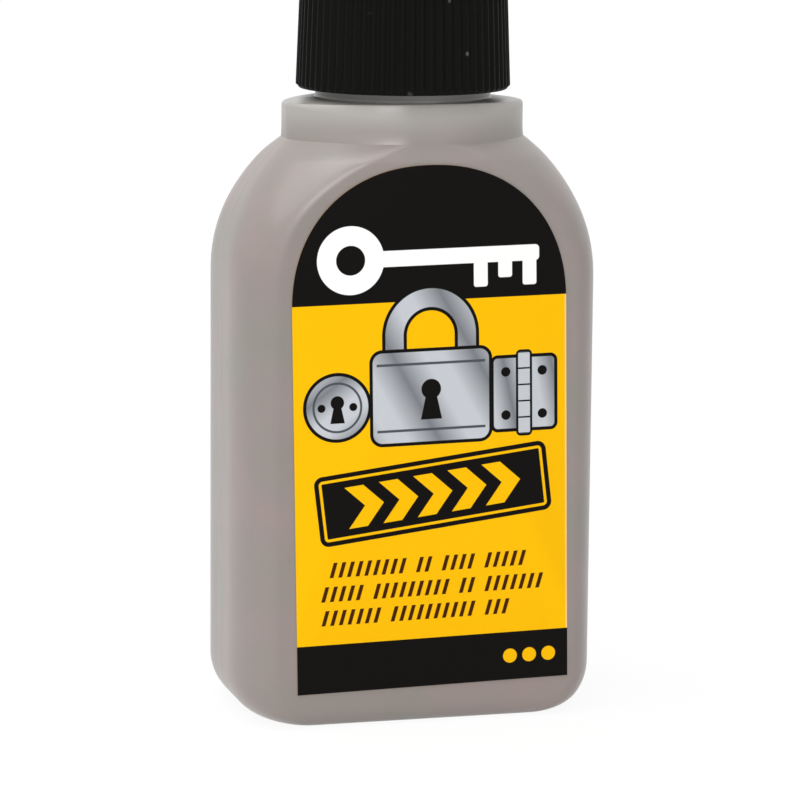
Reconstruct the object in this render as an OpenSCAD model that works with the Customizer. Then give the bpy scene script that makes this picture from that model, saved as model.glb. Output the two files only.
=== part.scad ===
// Squeeze bottle of graphite powder for locks: a flat moulded bottle with a threaded neck,
// a press-in dispensing spout, a tall ribbed screw cap with its sealing disc, two labels
// and the powder inside. Millimetres, Z up. The origin is the middle of the base, on the
// surface that it stands on. The front label faces -Y and the width lies along X.

/* [Bottle] */
// Width of the bottle
body_w = 46.3; // [42:0.1:54]
// Depth of the bottle, front to back
body_d = 26; // [24.6:0.1:32]
// Height of the straight sides, from the base
straight_h = 55.6; // [40:0.1:80]
// Height of the rounded shoulder above the straight sides
shoulder_h = 16.4; // [14:0.1:20]
// Angle that the shoulder's arc turns through before it meets the collar
shoulder_turn = 46.6; // [35:0.1:70]
// Fullness of the corners at the collar: 2 is round, and less is flatter
shoulder_fullness = 1.6; // [1.4:0.05:2.2]
// Upright corner's radius, measured across the bottle
corner_w = 4.7; // [4:0.1:6]
// Upright corner's radius, measured front to back
corner_d = 9; // [6:0.1:10]
// Base corner's radius across the bottle, seen from the front
base_round_w = 5.4; // [3:0.1:7]
// Base corner's height, seen from the front
base_round_h = 5.9; // [3:0.1:8]
// Radius along the base's front and back edges
base_edge = 2.3; // [1:0.1:3]
// Thickness of the moulded wall
wall = 0.9; // [0.6:0.1:1.3]
// Width of the rim that the bottle stands on
stand_w = 2.6; // [1.5:0.1:5]
// How far the base is pushed in inside the rim
base_recess = 0.8; // [0.4:0.1:1.6]

/* [Collar] */
// Width of the collar under the neck
collar_w = 30.4; // [28:0.1:36]
// How far the collar's front lies behind the front panel
collar_set = 1.2; // [0.4:0.1:1.5]
// Height of the collar's upright wall
collar_h = 4.4; // [2:0.1:8]
// Half the width of the nearly flat stretch of the collar's front
collar_flat = 2; // [1:0.1:4]
// Half the length of the nearly flat stretch of the collar's side
collar_side_flat = 1; // [0.5:0.1:3]
// Height over which the front panel's crest rounds back to the collar
crest_h = 1.3; // [0.8:0.05:1.8]
// Radius of the collar's top edge at its sides
collar_edge = 0.5; // [0.2:0.1:0.8]
// Height of the slope along the front of the collar's top edge
collar_slope_h = 1.5; // [0.5:0.1:1.9]
// Depth of that slope
collar_slope_d = 0.7; // [0.2:0.1:0.9]
// How much the collar's top climbs towards the neck
collar_rise = 0.3; // [0.1:0.1:0.8]

/* [Neck] */
// Width of the ledge between the neck and the collar's front
neck_ledge = 0.9; // [0.7:0.1:1.6]
// Height of the neck above the collar
neck_h = 16.2; // [14:0.1:20]
// Thickness of the neck's wall
neck_wall = 1.5; // [1:0.1:2.5]
// Rise of the thread in one turn
thread_pitch = 3.175; // [2.5:0.005:3.6]
// How far the neck's thread stands proud
thread_proud = 0.85; // [0.6:0.05:1.1]
// Turns of thread on the neck
thread_turns = 1.5; // [1:0.25:2]
// Plain length of neck above the thread
thread_lead = 1.5; // [0.5:0.1:2.5]

/* [Spout] */
// Thickness of the flange that rests on the neck's rim
flange_t = 1.4; // [0.8:0.1:2.5]
// How far the flange stays inside the neck's outside
flange_inset = 0.4; // [0.2:0.1:1]
// Length of the plug that is pressed into the neck
plug_l = 7; // [4:0.1:11]
// Thickness of the plug's wall
plug_wall = 1.1; // [0.8:0.1:2]
// Squeeze of the plug in the neck, on the radius
plug_press = 0.04; // [0.02:0.01:0.08]
// Height of the spout above the flange
spout_h = 9; // [6:0.1:16]
// Diameter of the spout at the flange
spout_base_d = 8.6; // [7:0.1:11]
// Diameter of the spout at its tip
spout_tip_d = 3.6; // [3:0.1:5]
// Thickness of the spout's wall
spout_wall = 1.1; // [0.8:0.1:1.6]
// Diameter of the hole that the powder leaves by
orifice_d = 1.2; // [0.8:0.1:1.8]
// Length of the narrow hole at the tip
orifice_l = 1.6; // [1:0.1:3]

/* [Cap] */
// Thickness of the cap's wall at its rim, under the ribs
cap_wall = 1.15; // [1.05:0.05:2.5]
// Gap between the collar's top and the cap's rim
cap_gap = 1.6; // [0.8:0.1:3]
// Slope of the cap's side, in degrees
cap_draft = 2.2; // [0:0.1:2.4]
// Thickness of the cap's top
cap_top_t = 1.6; // [1:0.1:3]
// Radius of the cap's top edge
cap_edge = 0.8; // [0.3:0.1:1]
// Number of ribs round the cap
rib_count = 68; // [40:4:88]
// How far each rib stands proud
rib_proud = 0.3; // [0.15:0.05:0.5]
// Plain band under and over the ribs
rib_margin = 0.3; // [0.2:0.1:1]
// Turns of thread inside the cap
cap_thread_turns = 1.25; // [0.75:0.25:1.5]
// Running clearance between the threads and the walls beside them
thread_clear = 0.15; // [0.12:0.01:0.25]
// Thickness of the sealing disc
liner_t = 1.2; // [0.6:0.1:2]
// Clearance round the sealing disc
liner_clear = 0.2; // [0.1:0.05:0.4]
// Clearance over and under the sealing disc
seal_clear = 0.05; // [0.02:0.01:0.1]

/* [Labels] */
// Thickness of a label
label_t = 0.15; // [0.1:0.01:0.3]
// Flat margin left beside the front label
label_margin = 1.05; // [1.05:0.05:3]
// Height of the labels' lower edge above the base
label_lift = 4.75; // [4:0.05:9]
// How far the front label sits off the middle
label_shift = 0.4; // [0:0.05:0.4]
// How far the front label is turned, in degrees
label_tilt = 1.1; // [0:0.05:1.1]
// Height of the dark field in the front label's arch
arch_field_h = 16.6; // [10:0.1:20]
// Height of the dark bar along a label's foot
foot_bar_h = 6.1; // [3:0.1:9]
// Flat margin left beside the back label
back_margin = 2; // [1:0.1:5]
// Height of the back label
back_label_h = 46; // [25:0.5:49]
// Corner radius of the back label
back_corner = 2; // [0.5:0.1:4]

/* [Powder] */
// How far the powder's top lies under the foot of the shoulder
powder_drop = 3; // [1:0.5:25]
// Gap between the powder and the bottle's inside
powder_gap = 0.1; // [0.05:0.01:0.2]

/* [Hidden] */
$fn = 96;

bottle_grey = [0.66, 0.63, 0.60];
spout_grey = [0.86, 0.85, 0.82];
cap_black = [0.09, 0.09, 0.085];
disc_white = [0.93, 0.92, 0.88];
label_yellow = [0.98, 0.75, 0.05];
label_black = [0.09, 0.08, 0.07];
powder_grey = [0.22, 0.22, 0.24];

// Overrun of a cut past the face that it opens
cut = 1;
// How far a thread or rib is sunk into the wall that carries it
sunk = 0.25;
// Steps in a quarter turn of a moulded corner, in a shoulder, in a base corner, in an edge
// and in the panel's crest
corner_steps = 7;
shoulder_steps = 14;
base_steps = 6;
edge_steps = 3;
crest_steps = 4;
// Steps in one turn of a thread, and those over which an end fades out
thread_steps = 30;
fade_steps = 4;
// Exponent of the rate at which the corners round off towards the collar
corner_rate = 1.6;
// Widths of the neck's and the cap's thread as shares of the pitch, at root and at crest
neck_thread_shares = [0.60, 0.28];
cap_thread_shares = [0.34, 0.18];
// Height of the cap's thread under the neck's, as a share of the pitch
thread_offset_share = 0.42;
// Width of a rib as a share of the space from rib to rib
rib_width_share = 0.52;

// Heights of the joins between the bottle's stretches
collar_z = straight_h + shoulder_h;
collar_top = collar_z + collar_h;
neck_foot = collar_top + collar_rise;
neck_top = neck_foot + neck_h;
floor_z = base_recess + wall;
collar_d = body_d - 2 * collar_set;
neck_r = collar_d / 2 - neck_ledge;
bore_r = neck_r - neck_wall;
panel_half = body_w / 2 - corner_w;
panel_top = collar_z - crest_h;
panel_arch_z = panel_top - panel_half;

// Thread places: the middle of the neck's thread at its lower end
thread_r = neck_r + thread_proud;
thread_top = neck_top - thread_lead;
thread_z = thread_top - thread_pitch * (thread_turns + neck_thread_shares[0] / 2);
cap_thread_z = thread_z - thread_pitch * thread_offset_share;

// Spout and cap heights, from the neck up
flange_top = neck_top + flange_t;
tip_z = flange_top + spout_h;
liner_z = tip_z + seal_clear;
ceiling_z = liner_z + liner_t + seal_clear;
cap_z = collar_top + cap_gap;
cap_top = ceiling_z + cap_top_t;
cap_h = cap_top - cap_z;
cap_bore_r = thread_r + thread_clear;
cap_core_r = cap_bore_r + cap_wall;
cap_slope = tan(cap_draft);
cap_upper_r = neck_r + 2 * thread_clear;
cap_step_z = thread_top + 2 * thread_clear;
cap_thread_crest_r = neck_r + 2 * thread_clear;
liner_r = cap_upper_r - liner_clear;

// Label places
label_half = panel_half - label_margin;
label_top = panel_arch_z + label_half;
label_mid_z = (label_lift + label_top) / 2;
back_half = panel_half - back_margin;

// The bottle's outline at height z: half width, half depth, half width of the flat panel,
// depth of the corner and fullness of the corner. The shoulder is an arc, the panel ends in
// an arch, and its crest is a quarter of an ellipse.
function shoulder_share(z) = max(0, min(1, (z - straight_h) / shoulder_h));
function base_share(z, h) = sqrt(1 - pow(max(0, 1 - z / h), 2));
function half_w(z) =
    let (a = asin(shoulder_share(z) * sin(shoulder_turn)))
    body_w / 2 - base_round_w * (1 - base_share(z, base_round_h))
    - (body_w - collar_w) / 2 * (1 - cos(a)) / (1 - cos(shoulder_turn));
function crest_share(z) = max(0, min(1, (z - collar_z + crest_h) / crest_h));
function half_d(z) =
    collar_d / 2 + (body_d - collar_d) / 2 * sqrt(1 - pow(crest_share(z), 2))
    - base_edge * (1 - base_share(z, base_edge));
function arch_share(z) = max(0, min(1, (z - panel_arch_z) / panel_half));
function flat_half(z) = z <= panel_arch_z
    ? half_w(z) - corner_w
    : collar_flat + (panel_half - collar_flat) * sqrt(1 - pow(arch_share(z), 2));
function corner_depth(z) =
    corner_d + (collar_d / 2 - collar_side_flat - corner_d)
    * pow(shoulder_share(z), corner_rate);
function fullness(z) = 2 - (2 - shoulder_fullness) * shoulder_share(z);

// One quarter of the outline at height z, drawn in by in_w across and in_d front to back,
// from the side to the front. Its corner is a superellipse with the fullness as its exponent.
function quarter(z, in_w, in_d) =
    let (flat = flat_half(z), side = half_d(z) - corner_depth(z), power = 2 / fullness(z),
         rx = half_w(z) - flat - in_w, ry = corner_depth(z) - in_d)
    [for (i = [0 : corner_steps])
        let (a = 90 * i / corner_steps)
        [flat + rx * pow(cos(a), power), side + ry * pow(sin(a), power)]];
// The whole outline, anticlockwise from above
function outline(z, in_w, in_d) =
    let (q = quarter(z, in_w, in_d), n = len(q) - 1)
    concat([for (p = q) p],
           [for (i = [n : -1 : 0]) [-q[i].x, q[i].y]],
           [for (p = q) [-p.x, -p.y]],
           [for (i = [n : -1 : 0]) [q[i].x, -q[i].y]]);
// A ring of the stack: the outline of height z, drawn in by inset and placed at height at
function ring(z, inset, at) = [for (p = outline(z, inset, inset)) [p.x, p.y, at]];
// A ring round the collar's top edge, turned in by an angle of a. The edge is small at the
// sides and grows to a slope along the front and the back.
function edge_ring(a) =
    [for (p = outline(collar_z, collar_edge * (1 - cos(a)), collar_slope_d * (1 - cos(a))))
        let (share = pow(2 * p.y / collar_d, 2),
             h = collar_edge + (collar_slope_h - collar_edge) * share)
        [p.x, p.y, collar_top - h * (1 - sin(a))]];
// Heights of the rings from the base to the collar, the last at the panel's arch and above
function base_levels() =
    [for (i = [0 : base_steps]) let (a = 90 * i / base_steps) base_round_h * (1 - cos(a))];
function shoulder_levels() = concat(
    [for (i = [0 : shoulder_steps - 1])
        panel_arch_z + panel_half * sin(90 * i / shoulder_steps)],
    [for (i = [0 : crest_steps])
        let (a = 90 * i / crest_steps) collar_z - crest_h * cos(a)]);

// Triangles of a skin over rings that have n points each and are anticlockwise from the far end
function skin_faces(rings, n) = concat(
    [[for (j = [0 : n - 1]) j]],
    [for (k = [0 : rings - 2], j = [0 : n - 1], t = [0, 1])
        let (a = k * n + j, b = k * n + (j + 1) % n, c = a + n, d = b + n)
        t == 0 ? [a, c, d] : [a, d, b]],
    [[for (j = [n - 1 : -1 : 0]) (rings - 1) * n + j]]);
module skin(rings) {
    n = len(rings[0]);
    polyhedron([for (r = rings) for (p = r) p], skin_faces(len(rings), n), convexity = 8);
}

// Trapezoid thread on a helix. It rises anticlockwise, its root is sunk into the wall,
// and both ends fade out.
module thread(root_r, crest_r, z, turns, shares) {
    out = crest_r > root_r ? 1 : -1;
    steps = round(turns * thread_steps);
    root = thread_pitch * shares[0] / 2;
    crest = thread_pitch * shares[1] / 2;
    skin([for (i = [0 : steps])
        let (a = 360 * i / thread_steps, h = z + thread_pitch * i / thread_steps,
             full = min(1, (i + 1) / fade_steps, (steps - i + 1) / fade_steps),
             top_r = root_r + (crest_r - root_r) * full)
        [for (p = [[root_r - out * sunk, out * root], [top_r, out * crest],
                   [top_r, -out * crest], [root_r - out * sunk, -out * root]])
            [p[0] * cos(a), p[0] * sin(a), h + p[1]]]]);
}

// Outside of the moulded bottle, from its base to the foot of the neck
module bottle_outside() {
    edge = [for (i = [0 : edge_steps]) edge_ring(90 * i / edge_steps)];
    foot = [for (p = outline(collar_z, 0, 0)) (neck_r - sunk) * p / norm(p)];
    skin(concat([for (z = base_levels()) ring(z, 0, z)],
                [for (z = shoulder_levels()) ring(z, 0, z)],
                edge, [[for (p = foot) [p.x, p.y, neck_foot]]]));
}

// Inside of the moulded bottle: the outside drawn in by a wall, as far as the collar's ceiling
module bottle_inside() {
    skin(concat([for (z = base_levels()) ring(z, wall, z + floor_z)],
                [for (z = shoulder_levels()) ring(z, wall, z - wall)],
                [ring(collar_z, wall, collar_top - wall)]));
}

module bottle_body() {
    color(bottle_grey) difference() {
        union() {
            bottle_outside();
            translate([0, 0, collar_z]) cylinder(h = neck_top - collar_z, r = neck_r);
            thread(neck_r, thread_r, thread_z, thread_turns, neck_thread_shares);
        }
        bottle_inside();
        translate([0, 0, collar_z]) cylinder(h = neck_top - collar_z + cut, r = bore_r);
        translate([0, 0, -cut]) linear_extrude(base_recess + cut) polygon(outline(0, stand_w, stand_w));
    }
}

// Spout with its flange and its press-in plug, as one turned profile
module nozzle_insert() {
    plug_r = bore_r + plug_press;
    inner_r = plug_r - plug_wall;
    flange_r = neck_r - flange_inset;
    color(spout_grey) rotate_extrude() polygon([
        [inner_r, neck_top - plug_l],
        [plug_r - plug_press, neck_top - plug_l],
        [plug_r, neck_top - plug_l + plug_wall],
        [plug_r, neck_top],
        [flange_r, neck_top],
        [flange_r, flange_top],
        [spout_base_d / 2, flange_top],
        [spout_tip_d / 2, tip_z],
        [orifice_d / 2, tip_z],
        [orifice_d / 2, tip_z - orifice_l],
        [spout_base_d / 2 - spout_wall, flange_top - flange_t / 2],
        [spout_base_d / 2 - spout_wall, neck_top],
        [inner_r, neck_top]]);
}

// Turned core of the cap, under its ribs
module cap_core() {
    top_r = cap_core_r - cap_slope * cap_h;
    rotate_extrude() polygon(concat(
        [[0, cap_z], [cap_core_r, cap_z]],
        [for (i = [0 : edge_steps])
            let (a = 90 * i / edge_steps)
            [top_r - cap_edge * (1 - cos(a)), cap_top - cap_edge * (1 - sin(a))]],
        [[0, cap_top]]));
}

// Ribs that lean with the cap's side
module cap_ribs() {
    rib_w = 2 * PI * cap_core_r / rib_count * rib_width_share;
    rib_l = (cap_h - cap_edge - 2 * rib_margin) / cos(cap_draft);
    for (i = [0 : rib_count - 1])
        rotate(360 * i / rib_count)
            translate([cap_core_r - cap_slope * rib_margin, 0, cap_z + rib_margin])
                rotate([0, -cap_draft, 0])
                    translate([-sunk, -rib_w / 2, 0])
                        cube([rib_proud + sunk, rib_w, rib_l]);
}

module screw_cap() {
    color(cap_black) {
        difference() {
            union() {
                cap_core();
                cap_ribs();
            }
            translate([0, 0, cap_z - cut]) cylinder(h = cap_step_z - cap_z + cut, r = cap_bore_r);
            translate([0, 0, cap_z]) cylinder(h = ceiling_z - cap_z, r = cap_upper_r);
        }
        thread(cap_bore_r, cap_thread_crest_r, cap_thread_z, cap_thread_turns, cap_thread_shares);
    }
}

module cap_liner() {
    color(disc_white) translate([0, 0, liner_z]) cylinder(h = liner_t, r = liner_r);
}

// Front label lying against the front panel: its sheet between two heights
module label_field(low, high) {
    translate([label_shift, -body_d / 2, label_mid_z]) rotate([90, -label_tilt, 0])
        linear_extrude(label_t) translate([0, -label_mid_z]) intersection() {
            union() {
                translate([-label_half, label_lift])
                    square([2 * label_half, panel_arch_z - label_lift]);
                translate([0, panel_arch_z]) circle(label_half);
            }
            translate([-label_half - cut, low]) square([2 * (label_half + cut), high - low]);
        }
}

module front_label() {
    color(label_black) label_field(label_lift, label_lift + foot_bar_h);
    color(label_yellow) label_field(label_lift + foot_bar_h, label_top - arch_field_h);
    color(label_black) label_field(label_top - arch_field_h, label_top);
}

// Back label with rounded corners
module back_label() {
    color(label_yellow) translate([0, body_d / 2 + label_t, label_lift]) rotate([90, 0, 0])
        linear_extrude(label_t) {
            translate([-back_half, back_corner])
                square([2 * back_half, back_label_h - 2 * back_corner]);
            translate([back_corner - back_half, 0])
                square([2 * (back_half - back_corner), back_label_h]);
            for (x = [back_corner - back_half, back_half - back_corner],
                 z = [back_corner, back_label_h - back_corner])
                translate([x, z]) circle(back_corner);
        }
}

// Powder that fills the bottle to just under its shoulder
module graphite_powder() {
    inset = wall + powder_gap;
    top = straight_h - powder_drop;
    color(powder_grey)
        skin(concat([for (z = base_levels()) ring(z, inset, z + floor_z + powder_gap)],
                    [ring(top, inset, top)]));
}

bottle_body();
nozzle_insert();
screw_cap();
cap_liner();
front_label();
back_label();
graphite_powder();
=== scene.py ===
"""Looks of a squeeze bottle of graphite powder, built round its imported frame.

A moulded bottle shell, a ribbed screw cap with its thread, a spout, a sealing disc, two
printed labels and the powder are worked out as surfaces and stand for the frame's nodes.
Lengths are metres. The front label faces -Y and the bottle stands on the plane of z = 0.
"""

import math

import bpy
import numpy as np
from bpy.props import FloatProperty, FloatVectorProperty, IntProperty, PointerProperty
from bpy.types import Operator, Panel, PropertyGroup
from mathutils import Matrix, Vector


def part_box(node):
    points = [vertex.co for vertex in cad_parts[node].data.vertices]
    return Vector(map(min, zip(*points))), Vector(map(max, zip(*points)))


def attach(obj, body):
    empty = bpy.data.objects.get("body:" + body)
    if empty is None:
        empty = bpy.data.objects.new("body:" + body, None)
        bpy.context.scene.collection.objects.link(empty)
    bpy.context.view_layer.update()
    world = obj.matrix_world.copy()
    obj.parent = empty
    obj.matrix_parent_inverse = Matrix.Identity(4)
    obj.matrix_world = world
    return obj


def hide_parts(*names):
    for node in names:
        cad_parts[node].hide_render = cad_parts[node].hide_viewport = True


bl_info = {
    "name": "Graphite Powder Bottle",
    "version": (1, 0, 0),
    "blender": (4, 5, 0),
    "location": "3D View > Sidebar > Powder Bottle",
    "description": "Builds a squeeze bottle of graphite powder round its packed frame",
    "category": "Object",
}

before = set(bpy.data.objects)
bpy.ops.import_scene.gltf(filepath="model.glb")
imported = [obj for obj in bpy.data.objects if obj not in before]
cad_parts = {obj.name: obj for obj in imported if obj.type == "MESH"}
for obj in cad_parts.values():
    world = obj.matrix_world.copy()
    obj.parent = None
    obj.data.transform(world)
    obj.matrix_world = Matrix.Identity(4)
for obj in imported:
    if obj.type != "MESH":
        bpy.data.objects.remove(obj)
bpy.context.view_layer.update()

MM = 0.001
TURN = 2 * math.pi

BOTTLE_LOW, BOTTLE_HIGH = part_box("bottle_body")
CAP_LOW, CAP_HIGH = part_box("screw_cap")
SPOUT_LOW, SPOUT_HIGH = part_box("nozzle_insert")
DISC_LOW, DISC_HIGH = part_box("cap_liner")
BACK_LOW, BACK_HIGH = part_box("back_label")
POWDER_LOW, POWDER_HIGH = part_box("graphite_powder")


def length(name, description, value):
    """A size in metres."""
    return FloatProperty(
        name=name, description=description, default=value, min=0.0, precision=5, unit="LENGTH"
    )


def share(name, description, value):
    """A plain number."""
    return FloatProperty(name=name, description=description, default=value, min=0.0)


def angle(name, description, degrees):
    """An angle, given in degrees."""
    return FloatProperty(
        name=name, description=description, default=math.radians(degrees), subtype="ANGLE"
    )


def colour(name, description, red, green, blue):
    """A colour, given as it is seen, from 0 to 255."""
    seen = np.array([red, green, blue]) / 255
    linear = np.where(seen <= 0.04045, seen / 12.92, ((seen + 0.055) / 1.055) ** 2.4)
    return FloatVectorProperty(
        name=name, description=description, default=tuple(linear), min=0.0, max=1.0,
        size=3, subtype="COLOR",
    )


class BottleSizes(PropertyGroup):
    """Sizes of the moulded bottle"""

    width: length("Width", "Width of the bottle", BOTTLE_HIGH.x - BOTTLE_LOW.x)
    depth: length("Depth", "Depth of the bottle, front to back", BOTTLE_HIGH.y - BOTTLE_LOW.y)
    neck_top: length("Neck Top", "Height of the neck's rim", BOTTLE_HIGH.z)
    straight_h: length("Straight Height", "Height of the straight sides", 55.6 * MM)
    shoulder_h: length("Shoulder Height", "Height of the shoulder", 16.4 * MM)
    shoulder_turn: angle("Shoulder Turn", "Angle of the shoulder's arc", 46.6)
    fullness: share("Fullness", "Fullness of the corners at the collar", 1.6)
    corner_rate: share("Corner Rate", "Rate at which the corners round off upwards", 1.6)
    panel_edge: share("Panel Edge", "How sharp the panel's edge is at the shoulder", 0.03)
    corner_w: length("Corner Width", "Upright corner across the bottle", 4.7 * MM)
    corner_d: length("Corner Depth", "Upright corner front to back", 9 * MM)
    base_round_w: length("Base Round Width", "Base corner across the bottle", 5.4 * MM)
    base_round_h: length("Base Round Height", "Height of the base corner", 5.9 * MM)
    base_edge: length("Base Edge", "Radius of the base's front and back edge", 2.3 * MM)
    wall: length("Wall", "Thickness of the moulded wall", 0.9 * MM)
    stand_w: length("Stand Width", "Width of the rim that it stands on", 2.6 * MM)
    recess: length("Recess", "How far the base is pushed in", 0.8 * MM)
    recess_slope: length("Recess Slope", "Width of the slope into the recess", 0.6 * MM)
    collar_w: length("Collar Width", "Width of the collar", 30.4 * MM)
    collar_set: length("Collar Set", "Collar's front behind the panel", 1.2 * MM)
    collar_h: length("Collar Height", "Height of the collar", 4.4 * MM)
    collar_flat: length("Collar Flat", "Half the flat of the collar's front", 2 * MM)
    collar_side: length("Collar Side", "Half the flat of the collar's side", 1 * MM)
    crest_h: length("Crest Height", "Collar's foot over the panel's arch", 1.3 * MM)
    crest_low: length("Crest Start", "Start of the crest's bend below the collar", 2.1 * MM)
    crest_over: length("Crest End", "End of the crest's bend on the collar", 1.5 * MM)
    crest_bend: share("Crest Bend", "How evenly the crest bends, less for a sharper edge", 0.75)
    arch_round: share("Arch Round", "How square the flat panel's arch is", 3.0)
    arch_fall: share("Arch Fall", "How evenly the arch closes at the collar", 0.9)
    collar_edge: length("Collar Edge", "Collar's edge at its sides", 0.3 * MM)
    slope_h: length("Slope Height", "Height of the slope on the collar's front", 2.0 * MM)
    slope_d: length("Slope Depth", "Depth of the slope on the collar's front", 0.6 * MM)
    slope_power: share("Slope Power", "How flat the collar's slope is", 1.4)
    collar_rise: length("Collar Rise", "Climb from the collar's sides to the neck", 0.45 * MM)
    neck_ledge: length("Neck Ledge", "Ledge between neck and collar's front", 0.9 * MM)
    neck_wall: length("Neck Wall", "Thickness of the neck's wall", 1.5 * MM)
    neck_edge: length("Neck Edge", "Radius of the rim's edges and of the neck's foot", 0.2 * MM)
    seam: length("Base Seam", "Height of the pinched seam across the base", 0.35 * MM)
    seam_w: length("Seam Width", "Half width of the pinched seam", 0.4 * MM)
    seam_half: length("Seam Reach", "Half length of the pinched seam", 15 * MM)
    parting: length("Parting Line", "Height of the mould's parting line", 0.015 * MM)
    parting_w: length("Parting Width", "Half width of the parting line", 0.12 * MM)


class ThreadSizes(PropertyGroup):
    """Sizes of the neck's and the cap's thread"""

    pitch: length("Pitch", "Rise of the thread in one turn", 3.175 * MM)
    proud: length("Proud", "How far the neck's thread stands proud", 0.85 * MM)
    lead: length("Lead", "Plain length of neck above the thread", 1.5 * MM)
    neck_turns: share("Neck Turns", "Turns of thread on the neck", 1.5)
    cap_turns: share("Cap Turns", "Turns of thread in the cap", 1.25)
    fade: share("Fade", "Turns over which a thread's end fades out", 0.13)
    neck_root: share("Neck Root", "Root of the neck's thread as a share of the pitch", 0.60)
    neck_crest: share("Neck Crest", "Crest of the neck's thread as a share", 0.28)
    cap_root: share("Cap Root", "Root of the cap's thread as a share of the pitch", 0.34)
    cap_crest: share("Cap Crest", "Crest of the cap's thread as a share", 0.18)
    offset: share("Offset", "Cap's thread under the neck's as a share of the pitch", 0.42)
    clear: length("Clearance", "Running clearance of the threads", 0.15 * MM)


class CapSizes(PropertyGroup):
    """Sizes of the screw cap"""

    low: length("Rim Height", "Height of the cap's rim", CAP_LOW.z)
    top: length("Top Height", "Height of the cap's top", CAP_HIGH.z)
    ceiling: length("Ceiling", "Height of the ceiling over the disc", DISC_HIGH.z + 0.05 * MM)
    wall: length("Wall", "Thickness of the wall at the rim", 1.15 * MM)
    draft: angle("Draft", "Slope of the cap's side", 2.2)
    edge: length("Top Edge", "Radius of the top edge", 0.8 * MM)
    rim_edge: length("Rim Edge", "Radius of the rim's edges", 0.2 * MM)
    ribs: IntProperty(name="Ribs", description="Ribs round the cap", default=68, min=3)
    rib: length("Rib", "How far a rib stands proud", 0.3 * MM)
    rib_margin: length("Rib Margin", "Plain band under and over the ribs", 0.3 * MM)
    rib_run: length("Rib Run", "Height over which a rib's end fades", 0.15 * MM)
    rib_square: share("Rib Squareness", "How square the ribs are", 1.3)
    gate: length("Gate Mark", "Radius of the moulding mark on the top", 1.1 * MM)
    gate_d: length("Gate Depth", "Depth of the moulding mark", 0.12 * MM)


class SpoutSizes(PropertyGroup):
    """Sizes of the spout and the sealing disc"""

    flange_t: length("Flange", "Thickness of the flange", 1.4 * MM)
    plug_wall: length("Plug Wall", "Thickness of the plug's wall", 1.1 * MM)
    press: length("Press", "Squeeze of the plug in the neck", 0.04 * MM)
    base_r: length("Base Radius", "Radius of the spout at the flange", 4.3 * MM)
    tip_r: length("Tip Radius", "Radius of the spout at its tip", 1.8 * MM)
    wall: length("Wall", "Thickness of the spout's wall", 1.1 * MM)
    orifice_r: length("Orifice Radius", "Radius of the powder's hole", 0.6 * MM)
    orifice_l: length("Orifice Length", "Length of the powder's hole", 1.6 * MM)
    edge: length("Edge", "Radius of the moulded edges", 0.25 * MM)
    disc_edge: length("Disc Edge", "Radius of the sealing disc's edges", 0.15 * MM)


class LabelSizes(PropertyGroup):
    """Sizes of the labels and of their print"""

    margin: length("Margin", "Flat margin beside the front label", 1.05 * MM)
    lift: length("Lift", "Height of the labels' lower edge", 4.75 * MM)
    shift: length("Shift", "How far the front label sits off the middle", 0.4 * MM)
    tilt: angle("Tilt", "How far the front label is turned", 1.1)
    thickness: length("Thickness", "Thickness of a label", 0.15 * MM)
    edge: length("Edge", "Radius of a label's edge", 0.03 * MM)
    back_corner: length("Back Corner", "Corner radius of the back label", 2 * MM)
    arch_power: share("Arch Power", "Fullness of the front label's arch", 2.2)
    arch_field: length("Arch Field", "Height of the dark field in the arch", 16.6 * MM)
    foot_bar: length("Foot Bar", "Height of the dark bar along the foot", 6.1 * MM)


class Finishes(PropertyGroup):
    """Colours of the pieces"""

    bottle: colour("Bottle", "Satin grey plastic", 143, 134, 130)
    bottle_warm: colour("Bottle Warm", "Warm tint in the grey plastic", 148, 135, 132)
    bottle_cool: colour("Bottle Cool", "Cool tint in the grey plastic", 139, 135, 128)
    # The collar's paler grey is painted light, where light from above falls on the bottle's top
    collar: colour("Collar", "Paler tone of the thick collar", 166, 162, 158)
    cap: colour("Cap", "Black plastic", 14, 14, 12)
    dust: colour("Dust", "Specks of dust on the cap", 96, 98, 92)
    spout: colour("Spout", "Off-white plastic", 222, 219, 210)
    disc: colour("Disc", "White foam", 234, 232, 224)
    powder: colour("Powder", "Graphite powder", 58, 59, 63)
    powder_glint: colour("Powder Glint", "Flakes in the powder", 128, 130, 136)
    yellow: colour("Yellow", "Yellow ink", 252, 191, 1)
    black: colour("Black", "Black ink", 14, 12, 11)
    white: colour("White", "White ink", 252, 252, 250)
    brown: colour("Brown", "Dark brown ink", 66, 30, 6)
    steel: colour("Steel", "Light grey ink", 196, 200, 206)
    iron: colour("Iron", "Dark grey ink", 78, 82, 88)
    # The cut edge's colour is paper darkened with painted shade along the label's edge
    paper_edge_shade: colour("Paper", "Cut edge of the label", 168, 140, 84)


class PowderBottle(PropertyGroup):
    """All settings of the bottle"""

    bottle: PointerProperty(type=BottleSizes)
    thread: PointerProperty(type=ThreadSizes)
    cap: PointerProperty(type=CapSizes)
    spout: PointerProperty(type=SpoutSizes)
    label: PointerProperty(type=LabelSizes)
    finish: PointerProperty(type=Finishes)


# Surfaces

# Angle between two faces past which their edge is shown sharp
SHARP_EDGE = math.radians(32)


def unit(values):
    """The values kept between 0 and 1."""
    return np.clip(values, 0.0, 1.0)


def ease(values):
    """A smooth step: three times the square of the value less twice its cube."""
    kept = unit(values)
    return kept * kept * (3 - 2 * kept)


def column(values):
    """Values as one column, one for each row of a grid."""
    return np.asarray(values, float).reshape(-1, 1)


def quarter_turn(count):
    """Angles from 0 to a quarter turn."""
    return np.linspace(0, math.pi / 2, count)


def all_round(count):
    """Angles of so many columns all the way round."""
    return np.arange(count) * TURN / count


def rows(x, y, z):
    """Rows of points from three arrays that broadcast to one grid."""
    return np.stack(np.broadcast_arrays(x, y, z), axis=2)


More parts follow.
